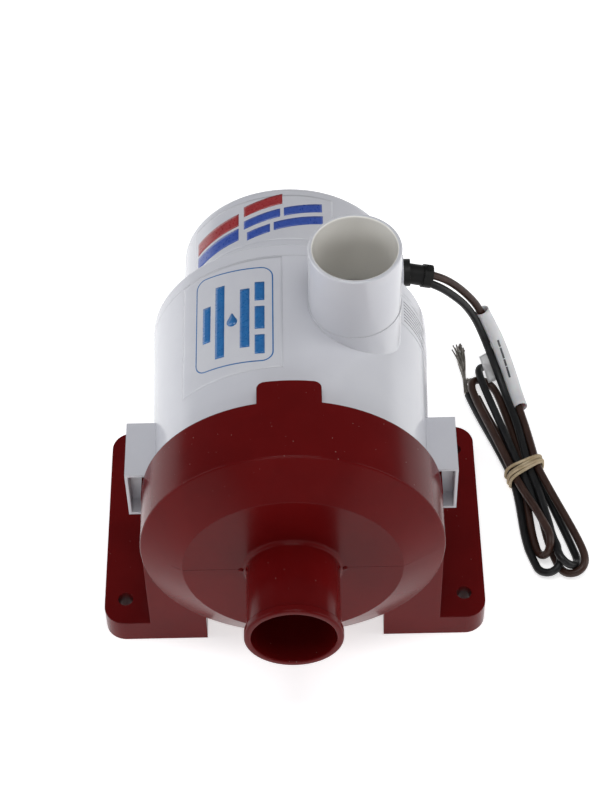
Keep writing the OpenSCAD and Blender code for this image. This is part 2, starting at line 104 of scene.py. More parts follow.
def from_rim(x, y, z):
    return Vector((x, y + RIM_Y, z))


def on_cylinder(radius, across, y):
    """A point on a cylinder round the pump's axis, across metres of arc from its top line."""
    angle = across / radius
    return from_rim(radius * math.sin(angle), y, AXIS_Z + radius * math.cos(angle))


def housing_radius(y):
    """The housing's outer radius, which grows from behind the ears to the seam."""
    return BODY_R + (SEAM_R - BODY_R) * min(1, max(0, (y - TAPER_Y) / (SEAM_Y - TAPER_Y)))


def cap_radius(_y):
    return CAP_R


def link(obj):
    bpy.context.scene.collection.objects.link(obj)
    return obj


def mesh_piece(name, points, faces, body="pump", smooth=True):
    mesh = bpy.data.meshes.new(name)
    mesh.from_pydata([tuple(p) for p in points], [], faces)
    mesh.validate()
    bm = bmesh.new()
    bm.from_mesh(mesh)
    bmesh.ops.remove_doubles(bm, verts=bm.verts, dist=SAME_POINT)
    bmesh.ops.recalc_face_normals(bm, faces=bm.faces)
    bm.to_mesh(mesh)
    bm.free()
    for polygon in mesh.polygons:
        polygon.use_smooth = smooth
    piece = link(bpy.data.objects.new(name, mesh))
    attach(piece, body)
    return piece


def curve_piece(name, lines, radius, cyclic=False, resolution=5, body="pump"):
    """One curve object, with a smooth spline through each line of points. Its knots carry the
    tube's radius, because a curve's bounding box grows by the radius of its knots."""
    data = bpy.data.curves.new(name, "CURVE")
    data.dimensions = "3D"
    data.bevel_depth = 1
    data.bevel_resolution = resolution
    data.use_fill_caps = True
    data.resolution_u = 6
    for line in lines:
        spline = data.splines.new("BEZIER")
        spline.bezier_points.add(len(line) - 1)
        for knot, point in zip(spline.bezier_points, line):
            knot.co = point
            knot.radius = radius
            knot.handle_left_type = knot.handle_right_type = "AUTO"
        spline.use_cyclic_u = cyclic
    piece = link(bpy.data.objects.new(name, data))
    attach(piece, body)
    return piece


# ---- Leads ----

LEAD_D = 0.0036
LEAD_R = LEAD_D / 2
# From the grommet's clamp to the hank. X, Y from the rim and Z, in metres, as in the CAD source.
# folded() puts the first run in place of the last two points.
BROWN_ROUTE = [
    (0.0630, 0.1505, 0.0650), (0.0685, 0.1520, 0.0610), (0.0740, 0.1535, 0.0555),
    (0.0800, 0.1545, 0.0480), (0.0860, 0.1545, 0.0390), (0.0905, 0.1525, 0.0300),
    (0.0955, 0.1475, 0.0205), (0.1000, 0.1390, 0.0115), (0.1035, 0.1280, 0.0055),
    (0.1055, 0.1160, 0.0045), (0.1065, 0.1040, 0.0050),
]
BLACK_ROUTE = [
    (0.0630, 0.1490, 0.0610), (0.0685, 0.1495, 0.0570), (0.0740, 0.1505, 0.0510),
    (0.0800, 0.1515, 0.0430), (0.0850, 0.1515, 0.0340), (0.0890, 0.1495, 0.0250),
    (0.0930, 0.1445, 0.0160), (0.0970, 0.1355, 0.0090), (0.1005, 0.1240, 0.0055),
    (0.1025, 0.1130, 0.0050), (0.1035, 0.1040, 0.0050),
]
# The hank lies along HANK_UP from the band's middle, and spreads along HANK_RIGHT.
BAND_AT = (0.105, 0.084)
HANK_UP = (-0.272, 0.962)
HANK_RIGHT = (0.962, 0.272)
# Each run of a lead through the hank: (sideways, height) at its top end, at the band and at its
# lower end, in millimetres. Runs alternate between going down and coming back up.
BROWN_RUNS = [
    ((9.6, 5.0), (5.9, 6.7), (9.2, 6.2)),
    ((4.4, 1.9), (1.5, 3.0), (-3.6, 1.9)),
    ((-8.2, 7.4), (-5.9, 6.7), (-2.8, 11.0)),
    ((-5.8, 2.4), (-2.4, 3.0), (-10.0, 1.9)),
]
BLACK_RUNS = [
    ((6.0, 5.8), (2.0, 6.7), (-3.4, 9.4)),
    ((9.2, 1.9), (5.3, 3.0), (6.4, 1.9)),
    ((-2.4, 8.8), (-2.0, 6.7), (-1.4, 5.8)),
    ((-9.0, 2.6), (-6.2, 3.0), (-12.8, 1.9)),
]
# How far each fold's tip lies from the band, in millimetres, and where the lead's cut end lies.
BROWN_TIPS, BROWN_END = (-59.5, 57.0, -48.5), 50.0
BLACK_TIPS, BLACK_END = (-57.4, 63.0, -56.5), 53.0
# Where a lead comes into the hank on its first run, in millimetres along it.
ENTRY, ENTRY_MIDDLE = 28, 13
STEP = 0.002
# How much of each lead settle() leaves as routed, and the half length held by the band.
HELD_LENGTH = 0.085
BAND_HOLDS = 0.004
# settle() opens bends of less than this radius, and lets points this near in line overlap.
TIGHTEST = 0.0078
NEIGHBOURS = 5
SETTLE_ROUNDS = 260
# How strongly one round of settle() mends each kind of error, as a share of the error.
PUSH_APART = 0.3
OPEN_MIDDLE, OPEN_ENDS = 0.25, 0.12
SMOOTHING = 0.08
EVEN_STEPS = 0.25
BACK_TO_REST = 0.01


def in_hank(along, side, height):
    """A point of the hank: millimetres along it from the band, sideways and up."""
    return np.array((
        BAND_AT[0] + MM * (along * HANK_UP[0] + side * HANK_RIGHT[0]),
        BAND_AT[1] + MM * (along * HANK_UP[1] + side * HANK_RIGHT[1]) + RIM_Y,
        MM * height,
    ))


def eased(t):
    return t * t * (3 - 2 * t)


def half_run(band, end, along, steps=6):
    points = []
    for i in range(steps + 1):
        t = i / steps
        side, height = (b + (e - b) * eased(t) for b, e in zip(band, end))
        points.append(in_hank(t * along, side, height))
    return points


def fold(a, b, along, reach, steps=8):
    """The half turn from run end a to run end b, which bulges out to reach beyond along."""
    points = []
    for i in range(1, steps):
        turn = math.pi * i / steps
        side, height = (
            (p + q) / 2 + (p - q) / 2 * math.cos(turn) for p, q in zip(a, b)
        )
        points.append(in_hank(along + math.copysign(reach, along) * math.sin(turn), side, height))
    return points


def folded(route, runs, tips, end):
    """A lead's whole line: its route to the hank, then each run and fold."""
    points = [np.array(from_rim(*p)) for p in route[:-2]]
    last = len(runs) - 1
    for k, (top, band, low) in enumerate(runs):
        down = k % 2 == 0
        arrives, leaves = (top, low) if down else (low, top)
        ends = []
        for place, fold_index in ((arrives, k - 1), (leaves, k)):
            if 0 <= fold_index < len(tips):
                other = runs[fold_index + 1] if fold_index == k else runs[fold_index]
                partner = other[2] if fold_index % 2 == 0 else other[0]
                reach = math.dist(place, partner) / 2
                tip = tips[fold_index]
                ends.append((tip - math.copysign(reach, tip), reach, partner))
            else:
                ends.append(None)
        if k == 0:
            points.append(in_hank(ENTRY, *top))
            points.append(in_hank(ENTRY_MIDDLE, *((t + b) / 2 for t, b in zip(top, band))))
            points.append(in_hank(0, *band))
        else:
            points += half_run(band, arrives, ends[0][0])[:-1][::-1]
        leaving = ends[1][0] if ends[1] else end
        points += half_run(band, leaves, leaving)[1:]
        if k < last:
            points += fold(leaves, ends[1][2], leaving, ends[1][1])
    return resampled(np.array(points), STEP)


def resampled(points, step):
    """The Catmull-Rom line through the points, cut into equal steps."""
    padded = np.vstack((2 * points[0] - points[1], points, 2 * points[-1] - points[-2]))
    dense = []
    for p0, p1, p2, p3 in zip(padded, padded[1:], padded[2:], padded[3:]):
        for u in np.linspace(0, 1, 12, endpoint=False):
            dense.append(0.5 * (
                2 * p1 + (p2 - p0) * u + (2 * p0 - 5 * p1 + 4 * p2 - p3) * u ** 2
                + (3 * p1 - p0 - 3 * p2 + p3) * u ** 3
            ))
    dense.append(points[-1])
    dense = np.array(dense)
    along = np.concatenate(([0], np.cumsum(np.linalg.norm(np.diff(dense, axis=0), axis=1))))
    places = np.linspace(0, along[-1], int(along[-1] / step) + 1)
    return np.stack([np.interp(places, along, dense[:, i]) for i in range(3)], axis=1)


def settle(strands, held):
    """Pushes strands apart until they only touch, opens folds that are too tight, and keeps all
    of it on the floor. The first held[i] points of strand i, and those in the band, stay put."""
    counts = [len(s) for s in strands]
    starts = np.concatenate(([0], np.cumsum(counts)))
    points = np.vstack(strands)
    rest = points.copy()
    owner = np.repeat(np.arange(len(strands)), counts)
    index = np.concatenate([np.arange(c) for c in counts])
    same_strand = owner[:, None] == owner[None]
    near_self = same_strand & (np.abs(index[:, None] - index[None]) < NEIGHBOURS)
    band = np.array((*BAND_AT, 0)) + np.array((0, RIM_Y, 0))
    along = (points - band) @ np.array((*HANK_UP, 0))
    fixed = index < np.array(held)[owner]
    fixed |= np.abs(along) < BAND_HOLDS
    free = ~fixed
    span = 2
    sag_most = TIGHTEST - math.sqrt(TIGHTEST ** 2 - (span * STEP) ** 2)
    for _ in range(SETTLE_ROUNDS):
        gap = points[:, None] - points[None]
        apart = np.linalg.norm(gap, axis=2)
        touch = (apart < LEAD_D) & ~near_self
        short = np.where(touch, (LEAD_D - apart) / np.maximum(apart, 1e-9), 0)
        points[free] += PUSH_APART * (gap * short[:, :, None]).sum(1)[free]
        for a, b in zip(starts, starts[1:]):
            line = points[a:b]
            middle = (line[: -2 * span] + line[2 * span:]) / 2
            sag = middle - line[span:-span]
            size = np.linalg.norm(sag, axis=1)
            over = sag * (np.maximum(size - sag_most, 0) / np.maximum(size, 1e-9))[:, None]
            moved = np.zeros_like(line)
            moved[span:-span] += OPEN_MIDDLE * over
            moved[: -2 * span] -= OPEN_ENDS * over
            moved[2 * span:] -= OPEN_ENDS * over
            smooth = np.zeros_like(line)
            smooth[1:-1] = (line[:-2] + line[2:]) / 2 - line[1:-1]
            line += np.where(free[a:b, None], moved + SMOOTHING * smooth, 0)
            step = np.diff(line, axis=0)
            length = np.linalg.norm(step, axis=1)
            pull = EVEN_STEPS * step * ((length - STEP) / np.maximum(length, 1e-9))[:, None]
            line[:-1] += np.where(free[a:b][:-1, None], pull, 0)
            line[1:] -= np.where(free[a:b][1:, None], pull, 0)
        points[free] += BACK_TO_REST * (rest - points)[free]
        points[free, 2] = np.maximum(points[free, 2], LEAD_R)
    return [points[a:b] for a, b in zip(starts, starts[1:])]


def make_leads():
    brown = folded(BROWN_ROUTE, BROWN_RUNS, BROWN_TIPS, BROWN_END)
    black = folded(BLACK_ROUTE, BLACK_RUNS, BLACK_TIPS, BLACK_END)
    held = int(HELD_LENGTH / STEP)
    return settle([brown, black], [held, held])


KNOTS_APART = 2
brown_line, black_line = make_leads()
lead_brown = curve_piece("lead_brown_cord", [brown_line[::KNOTS_APART]], LEAD_R)
lead_black = curve_piece("lead_black_cord", [black_line[::KNOTS_APART]], LEAD_R)
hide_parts("lead_brown", "lead_hank")
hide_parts("lead_black")

# Stripped ends: the wires' radius and lift, how their bundle starts and narrows, the turn that
# they twist through in radians, how far the stray ones drift, and the share of their length that
# starts inside the lead.
WIRE_R = 0.00036
WIRE_LIFT = 0.0004
WIRE_KNOTS = 8
BUNDLE_R = 0.0014
BUNDLE_WAIST = 0.0009
TWIST = 2.2
STRAY = 0.0012
TUCKED_IN = 0.04
BLACK_END_LENGTH, BROWN_END_LENGTH = 0.0268, 0.010


def strands(name, line_end, heading, length, count, spread, slot="tinned_copper"):
    """A stripped end: thin wires that leave the lead together, twist a little and splay."""
    tip = Vector(line_end)
    forward = Vector(heading).normalized()
    side = forward.cross(Vector((0, 0, 1))).normalized()
    up = side.cross(forward)
    lines = []
    for i in range(count):
        ring = 0.25 + 0.75 * ((i * 7) % count) / count
        start_angle = 2 * math.pi * i / count
        line = []
        for j in range(WIRE_KNOTS):
            t = j / (WIRE_KNOTS - 1)
            angle = start_angle + TWIST * t
            waist = BUNDLE_WAIST * math.sin(math.pi * min(1, 1.5 * t))
            radius = ring * (BUNDLE_R - waist + spread * t ** 4)
            stray = STRAY * t ** 3 * math.sin(5.1 * i)
            line.append(
                tip + forward * (length * (t - TUCKED_IN) * (1 - 0.06 * math.sin(3.7 * i)))
                + side * (radius * math.cos(angle) * 1.15 + stray)
                + up * (radius * math.sin(angle) * 0.7)
            )
        for point in line:
            point.z = max(point.z, WIRE_LIFT)
        lines.append(line)
    return curve_piece(name, lines, WIRE_R, resolution=2)


def heading_of(line, count=4):
    return Vector(line[-1] - line[-1 - count])


STRANDS_TO = from_rim(0.0790, 0.1620, 0.0050)
black_wires = strands(
    "wires_black_end", black_line[-1], STRANDS_TO - Vector(black_line[-1]), BLACK_END_LENGTH,
    count=17, spread=0.0011,
)
brown_wires = strands(
    "wires_brown_end", brown_line[-1], heading_of(brown_line), BROWN_END_LENGTH,
    count=14, spread=0.0003,
)
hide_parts("bare_ends")

# ---- Sleeve and its flap ----

SLEEVE_R = 0.0033
SLEEVE_WALL = 0.0004
SLEEVE_SIDES = 40


def tube_frame(line, i):
    """The point i of a line, with the directions to its side and above it."""
    ahead = Vector(line[min(i + 1, len(line) - 1)] - line[max(i - 1, 0)]).normalized()
    side = ahead.cross(Vector((0, 0, 1))).normalized()
    return Vector(line[i]), side, side.cross(ahead)


def tube_mesh(name, line, outer, wall, sides=SLEEVE_SIDES):
    """An open tube with a wall along a line, cut square at both ends."""
    points = []
    for radius in (outer, outer - wall):
        for i in range(len(line)):
            middle, side, up = tube_frame(line, i)
            for k in range(sides):
                angle = 2 * math.pi * k / sides
                points.append(middle + radius * (math.cos(angle) * side + math.sin(angle) * up))
    count = len(line)
    faces = []

    def strip(a, b):
        for k in range(sides):
            n = (k + 1) % sides
            faces.append((a * sides + k, a * sides + n, b * sides + n, b * sides + k))

    for i in range(count - 1):
        strip(i, i + 1)
        strip(count + i, count + i + 1)
    strip(0, count)
    strip(count - 1, 2 * count - 1)
    return mesh_piece(name, points, faces)


def part_of(line, start, end):
    """The points of a line between two distances along it."""
    return line[int(start / STEP): int(end / STEP) + 1]


SLEEVE_START = 0.0400
SLEEVE_END = 0.0920
# The sleeve is wider than its lead, which lies against the wall on the black lead's side.
SLEEVE_SHIFT = (0.0008, 0.0004)


def shifted(line, right, above):
    return [
        np.array(middle - right * side + above * up)
        for middle, side, up in (tube_frame(line, i) for i in range(len(line)))
    ]


sleeve_line = shifted(part_of(brown_line, SLEEVE_START, SLEEVE_END), *SLEEVE_SHIFT)
sleeve = tube_mesh("sleeve_white", sleeve_line, SLEEVE_R, SLEEVE_WALL)
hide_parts("label_sleeve")

# The dashed line lies PRINT_ANGLE round from the sleeve's side. Each dash runs between two of the
# sleeve line's points, less a gap at both ends.
PRINT_ANGLE = math.radians(68)
PRINT_TURN = 0.14
DASHES = ((8, 10), (10, 13), (13, 15), (15, 18))
DASH_GAP = 0.15
DASH_LIFT = 0.00006
DASH_FILM = 0.00005
FLAP_FROM, FLAP_TO = 10, 18
FLAP_WIDTH = 0.0098
FLAP_DROP = 0.0016
FLAP_OVERLAP = 0.0003
FLAP_LIFT = 0.0004
FLAP_FILM = 0.00015


def solid_film(piece, thickness):
    """Gives a one-sided patch its thickness, on the side away from where it faces."""
    film = piece.modifiers.new("film", "SOLIDIFY")
    film.thickness = thickness
    film.offset = -1
    return piece


def grid_faces(rows, columns, start=0):
    return [
        (start + i * columns + j, start + (i + 1) * columns + j,
         start + (i + 1) * columns + j + 1, start + i * columns + j + 1)
        for i in range(rows - 1) for j in range(columns - 1)
    ]


def sleeve_marks():
    """A blank dashed line along the sleeve, where the real one carries words."""
    points, faces = [], []
    columns = 3
    for first, last in DASHES:
        start = len(points)
        rows = 2 * (last - first) + 1
        for t in np.linspace(first + DASH_GAP, last - DASH_GAP, rows):
            i = int(t)
            here, side, up = tube_frame(sleeve_line, i)
            middle = here.lerp(Vector(sleeve_line[i + 1]), t - i)
            for j in range(columns):
                at = PRINT_ANGLE + PRINT_TURN * (j - 1)
                away = math.cos(at) * side + math.sin(at) * up
                points.append(middle + (SLEEVE_R + DASH_LIFT) * away)
        faces += grid_faces(rows, columns, start)
    piece = mesh_piece("sleeve_lines", points, faces)
    if sum(p.normal.z for p in piece.data.polygons) < 0:
        piece.data.flip_normals()
    return solid_film(piece, DASH_FILM)


def sleeve_flap():
    """The loose tail of the sleeve's film, which passes below the black lead."""
    columns = 8
    rows = range(FLAP_FROM, FLAP_TO)
    points = []
    for i in rows:
        middle, side, up = tube_frame(sleeve_line, i)
        root = middle - (SLEEVE_R - FLAP_OVERLAP) * up
        for j in range(columns):
            t = j / (columns - 1)
            point = root + side * FLAP_WIDTH * t
            point.z = max(FLAP_LIFT, point.z - FLAP_DROP * math.sin(math.pi / 2 * t))
            points.append(point)
    piece = mesh_piece("sleeve_flap", points, grid_faces(len(rows), columns))
    return solid_film(piece, FLAP_FILM)


sleeve_print = sleeve_marks()
flap = sleeve_flap()

# ---- Rubber band ----

BAND_STRAND_R = 0.00075
BAND_HALF_WIDTH = 0.0088
BAND_TOP = 0.0098
BAND_KNOTS = 28
# Each turn of the band, in millimetres: where it lies along the hank, how far its ends lean from
# there, and how far it stands out from the innermost turn at the sides and on top.
BAND_TURNS = ((-2.9, 2.8, 0), (-1.5, 2.2, 0.3), (-0.1, 2.7, 0), (1.5, 1.6, 0.2))


def band_loops():
    """Four turns of the band round the bundle, each a little skewed."""
    loops = []
    middle = in_hank(0, 0, 0)
    up = np.array((*HANK_UP, 0.0))
    right = np.array((*HANK_RIGHT, 0.0))
    low, high = BAND_STRAND_R, BAND_TOP
    for shift, skew, swell in BAND_TURNS:
        loop = []
        for k in range(BAND_KNOTS):
            angle = 2 * math.pi * k / BAND_KNOTS
            c, s = math.cos(angle), math.sin(angle)
            wide = math.copysign(abs(c) ** 0.55, c)
            tall = math.copysign(abs(s) ** 0.6, s)
            half_height = (high - low) / 2 + swell * MM * (s > 0)
            loop.append(Vector(
                middle + right * wide * (BAND_HALF_WIDTH + swell * MM)
                + up * MM * (shift + skew * wide)
                + np.array((0, 0, (low + high) / 2 + tall * half_height))
            ))
        loops.append(loop)
    return loops


rubber_band = curve_piece(
    "rubber_band_turns", band_loops(), BAND_STRAND_R, cyclic=True, resolution=3
)
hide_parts("rubber_band")

# ---- Stickers and mould marks ----

STICKER_LIFT = 0.00003
PRINT_LIFT = 0.00007
STICKER_FILM = 0.00003
PATCH_STEP = 0.0012
# Each sticker's film: lowest arc, highest arc, lowest Y and highest Y.
HOUSING_FILM = (-0.0500, -0.0022, 0.0485, 0.1075)
CAP_FILM = (-0.0490, 0.0205, 0.1290, 0.1555)
SIDE_FILM = (0.0540, 0.0860, 0.0900, 0.1065)
# Arc and Y from the rim of the housing label's middle. Its ends slant a little.
LABEL_AT = (-0.0240, 0.0790)
LABEL_SLANT = -0.11
LABEL_HALF = (0.0180, 0.0250)
LABEL_CORNER = 0.0052
LABEL_LINE = 0.00055
# An outline's sides that are longer than LONG_SIDE are cut into SIDE_PIECES.
LONG_SIDE = 0.015
SIDE_PIECES = 24
DROP_AT = (-0.0239, 0.0765)
DROP_R = 0.0024
# Bars where the real label has words: (arc, lowest Y, highest Y, thickness) in millimetres.
LABEL_BARS = (
    (-11.8, 58, 68, 4.2), (-11.8, 71, 83, 4.2), (-11.8, 86, 96, 4.2), (-18.2, 62, 93, 4.2),
    (-29.6, 59, 97, 4.4), (-36.2, 69, 88, 4.0),
)
# Bars on the motor cap's sticker: (lowest arc, highest arc, Y at the lowest arc, height) in
# millimetres. The first of each climbs with the arc by BAND_SLOPE, the others by CAP_SLOPE.
CAP_RED = ((-47, -22, 139.6, 7.2), (-19.5, -2, 146.2, 6.0))
CAP_BLUE = (
    (-47, -22, 131.2, 7.0), (-19.5, -3.0, 138.8, 4.9), (-1.4, 15.5, 142.9, 4.9),
    (-18.0, -7.5, 131.8, 4.8), (-5.9, 15.8, 134.8, 4.8),
)
CAP_SLOPE = 0.23
BAND_SLOPE = 0.1
# Blank lines on the side sticker: the arc where they start and where the longest ends, how much
# shorter each of the next two is, the first one's lowest and highest Y, and the step between two.
SIDE_LINES = 7
SIDE_LINE_START, SIDE_LINE_END = 0.0575, 0.0815
SIDE_LINE_SHORTER = 0.004
SIDE_LINE_Y = (0.0930, 0.0934)
SIDE_LINE_PITCH = 0.0017


def slanting(arc, y):
    return arc, y + LABEL_SLANT * (arc - LABEL_AT[0])


def patch(name, radius, lift, quads, rings=(), fans=()):
    """Thin film on the housing or cap, whose radius at each Y is radius(Y). quads are four
    (arc, Y) corners each, rings are pairs of closed loops, and fans are closed loops filled
    from their middle."""
    points, faces = [], []
    for corners in quads:
        (a, b, c, d) = (np.array(corner) for corner in corners)
        columns = max(2, int(np.linalg.norm(b - a) / PATCH_STEP) + 1)
        rows = max(2, int(np.linalg.norm(d - a) / PATCH_STEP) + 1)
        start = len(points)
        for i in range(rows):
            for j in range(columns):
                v, u = i / (rows - 1), j / (columns - 1)
                points.append((a * (1 - u) + b * u) * (1 - v) + (d * (1 - u) + c * u) * v)
        faces += grid_faces(rows, columns, start)
    for outer, inner in rings:
        start, count = len(points), len(outer)
        points += list(outer) + list(inner)
        for k in range(count):
            n = (k + 1) % count
            faces.append((start + k, start + n, start + count + n, start + count + k))
    for loop in fans:
        start, count = len(points), len(loop)
        points += list(loop) + [np.mean(np.array(loop), axis=0)]
        faces += [(start + k, start + (k + 1) % count, start + count) for k in range(count)]
    places = [on_cylinder(radius(y) + lift, float(arc), float(y)) for arc, y in points]
    piece = mesh_piece(name, places, faces)
    outwards = sum(
        p.normal.dot(p.center - Vector((0, p.center.y, AXIS_Z))) for p in piece.data.polygons
    )
    if outwards < 0:
        piece.data.flip_normals()
    return solid_film(piece, STICKER_FILM)


def rectangle(low_arc, high_arc, low_y, high_y):
    return ((low_arc, low_y), (high_arc, low_y), (high_arc, high_y), (low_arc, high_y))


def slanted(low, high, y, height, slope):
    """A bar that climbs with the arc, with upright ends, from millimetres."""
    rise = (high - low) * slope
    return tuple(
        (MM * arc, MM * level)
        for arc, level in ((low, y), (high, y + rise), (high, y + rise + height), (low, y + height))
    )


def rounded_loop(half, corner, inset, per_corner=10):
    loop = []
    for turn, sx, sy in ((0, 1, 1), (1, -1, 1), (2, -1, -1), (3, 1, -1)):
        for k in range(per_corner + 1):
            angle = math.pi / 2 * (turn + k / per_corner)
            loop.append(slanting(
                LABEL_AT[0] + sx * (half[0] - corner) + (corner - inset) * math.cos(angle),
                LABEL_AT[1] + sy * (half[1] - corner) + (corner - inset) * math.sin(angle),
            ))
    return split_long(loop)


def split_long(loop):
    """Adds points along the loop's long sides, the same number for every loop of one shape."""
    points = []
    for here, there in zip(loop, loop[1:] + loop[:1]):
        pieces = SIDE_PIECES if math.dist(here, there) > LONG_SIDE else 1
        for k in range(pieces):
            t = k / pieces
            points.append(tuple(p + (q - p) * t for p, q in zip(here, there)))
    return points


def drop_loop(arc, y, radius=DROP_R, count=32):
    """A water drop that points along +Y."""
    loop = []
    for k in range(count):
        angle = 2 * math.pi * k / count
        tall = 1 + 0.9 * max(0, math.cos(angle)) ** 6
        loop.append(slanting(
            arc + radius * math.sin(angle) * (1 - 0.25 * (tall - 1)),
            y + radius * tall * math.cos(angle),
        ))
    return loop


def make_stickers():
    patch("housing_label_film", housing_radius, STICKER_LIFT, [rectangle(*HOUSING_FILM)])
    patch("housing_label_print", housing_radius, PRINT_LIFT,
          [[slanting(*c) for c in rectangle(MM * (arc - thick / 2), MM * (arc + thick / 2),
                                            MM * low, MM * high)]
           for arc, low, high, thick in LABEL_BARS],
          rings=[(rounded_loop(LABEL_HALF, LABEL_CORNER, 0),
                  rounded_loop(LABEL_HALF, LABEL_CORNER, LABEL_LINE))],
          fans=[drop_loop(*DROP_AT)])
    patch("cap_sticker_film", cap_radius, STICKER_LIFT, [rectangle(*CAP_FILM)])
    patch("cap_sticker_red", cap_radius, PRINT_LIFT,
          [slanted(*CAP_RED[0], BAND_SLOPE), slanted(*CAP_RED[1], CAP_SLOPE)])
    patch("cap_sticker_blue", cap_radius, PRINT_LIFT,
          [slanted(*CAP_BLUE[0], BAND_SLOPE)] + [slanted(*bar, CAP_SLOPE) for bar in CAP_BLUE[1:]])
    patch("side_sticker_film", housing_radius, STICKER_LIFT, [rectangle(*SIDE_FILM)])
    patch("side_sticker_lines", housing_radius, PRINT_LIFT,
          [rectangle(SIDE_LINE_START, SIDE_LINE_END - SIDE_LINE_SHORTER * (k % 3),
                     *(y + SIDE_LINE_PITCH * k for y in SIDE_LINE_Y))
           for k in range(SIDE_LINES)])


# The parting line's ridge and the ejector nubs. SUNK is how far behind the face both begin, and
# RIDGE_INSET is how far inside the cover's edge the ridge ends.
SUNK = 0.00003
RIDGE_HALF, RIDGE_HEIGHT, RIDGE_INSET = 0.00014, 0.00005, 0.0002
NUB_X, NUB_DROP, NUB_R, NUB_HEIGHT = 0.0212, 0.0006, 0.0011, 0.0008


def parting_ridge(points, faces, side):
    """A low ridge over the flat face and the cone, on one side of the spigot."""
    start = len(points)
    for x, y in ((PORT_R, FACE_Y), (FACE_R, FACE_Y), (COVER_R - RIDGE_INSET, 0.0)):
        points.append(from_rim(side * x, y + SUNK, AXIS_Z - RIDGE_HALF))
        points.append(from_rim(side * x, y - RIDGE_HEIGHT, AXIS_Z))
        points.append(from_rim(side * x, y + SUNK, AXIS_Z + RIDGE_HALF))
    for i in range(2):
        for j in range(3):
            n = (j + 1) % 3
            faces.append((start + 3 * i + j, start + 3 * i + n,
                          start + 3 * i + 3 + n, start + 3 * i + 3 + j))
    faces += [(start, start + 1, start + 2), (start + 6, start + 7, start + 8)]


def ejector_nub(points, faces, side, around=14, up=4):
    """A low round nub on the flat face, at the spigot's root."""
    start = len(points)
    for i in range(up):
        rise = math.pi / 2 * i / up
        for k in range(around):
            turn = 2 * math.pi * k / around
            points.append(from_rim(
                side * NUB_X + NUB_R * math.cos(rise) * math.cos(turn),
                FACE_Y + SUNK - NUB_HEIGHT * math.sin(rise),
                AXIS_Z - NUB_DROP + NUB_R * math.cos(rise) * math.sin(turn),
            ))
    points.append(from_rim(side * NUB_X, FACE_Y - NUB_HEIGHT, AXIS_Z - NUB_DROP))
    for i in range(up - 1):
        for k in range(around):
            n = (k + 1) % around
            faces.append((start + i * around + k, start + i * around + n,
                          start + (i + 1) * around + n, start + (i + 1) * around + k))
    last = start + (up - 1) * around
    faces += [(last + k, last + (k + 1) % around, len(points) - 1) for k in range(around)]
    faces.append(tuple(start + k for k in range(around)))


def mould_marks():
    """The parting line across the cover's front, and an ejector nub on each side."""
    points, faces = [], []
    for side in (-1, 1):
        parting_ridge(points, faces, side)
        ejector_nub(points, faces, side)
    return mesh_piece("mould_marks", points, faces, smooth=False)


make_stickers()
mould_marks()

# ---- Materials ----


class Look:
    """A node material, with short ways to add and join nodes."""

    def __init__(self, name, roughness=0.4, metallic=0.0, **sockets):
        self.material = bpy.data.materials.new(name)
        self.material.use_nodes = True
        self.nodes = self.material.node_tree.nodes
        self.links = self.material.node_tree.links
        self.shader = self.nodes["Principled BSDF"]
        self.shader.inputs["Roughness"].default_value = roughness
        self.shader.inputs["Metallic"].default_value = metallic
        for name, value in sockets.items():
            self.shader.inputs[name.replace("_", " ")].default_value = value
        self.place = self.nodes.new("ShaderNodeTexCoord").outputs["Object"]

    def node(self, kind, inputs=(), **settings):
        node = self.nodes.new(kind)
        for name, value in settings.items():
            setattr(node, name, value)
        for name, value in dict(inputs).items():
            socket = node.inputs[name]
            if isinstance(value, bpy.types.NodeSocket):
                self.links.new(value, socket)
            else:
                socket.default_value = value
        return node

    def noise(self, scale, detail=3.0, roughness=0.55, stretch=(1, 1, 1)):
        place = self.place
        if stretch != (1, 1, 1):
            place = self.node("ShaderNodeMapping", {"Vector": place, "Scale": stretch}).outputs[0]
        return self.node("ShaderNodeTexNoise", {
            "Vector": place, "Scale": scale, "Detail": detail, "Roughness": roughness,
        }).outputs["Fac"]

    def ranged(self, value, low, high, to_low, to_high):
        return self.node("ShaderNodeMapRange", {
            "Value": value, "From Min": low, "From Max": high, "To Min": to_low, "To Max": to_high,
        }).outputs[0]

    def math(self, operation, a, b=0.0):
        node = self.node("ShaderNodeMath", operation=operation)
        for socket, value in zip(node.inputs, (a, b)):
            if isinstance(value, bpy.types.NodeSocket):
                self.links.new(value, socket)
            else:
                socket.default_value = value
        return node.outputs[0]

    def mixed(self, share, a, b):
        """Colour a where share is 0 and b where it is 1."""
        node = self.node("ShaderNodeMix", data_type="RGBA")
        for name, value in (("Factor", share), ("A", a), ("B", b)):
            socket = next(s for s in node.inputs if s.name == name and s.enabled)
            if isinstance(value, bpy.types.NodeSocket):
                self.links.new(value, socket)
            elif name == "Factor":
                socket.default_value = value
            else:
                socket.default_value = (*value, 1)
        return next(s for s in node.outputs if s.enabled)

    def set(self, name, value):
        self.links.new(value, self.shader.inputs[name])

    def bump(self, height, distance, strength=1.0, rounded=0.0):
        """Surface relief. rounded softens the edges of the solid by that radius."""
        inputs = {"Height": height, "Distance": distance, "Strength": strength}
        if rounded:
            inputs["Normal"] = self.node(
                "ShaderNodeBevel", {"Radius": rounded}, samples=4
            ).outputs[0]
        self.set("Normal", self.node("ShaderNodeBump", inputs).outputs[0])

    def cover(self, *names):
        for name in names:
            mesh = (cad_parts.get(name) or bpy.data.objects[name]).data
            mesh.materials.clear()
            mesh.materials.append(self.material)


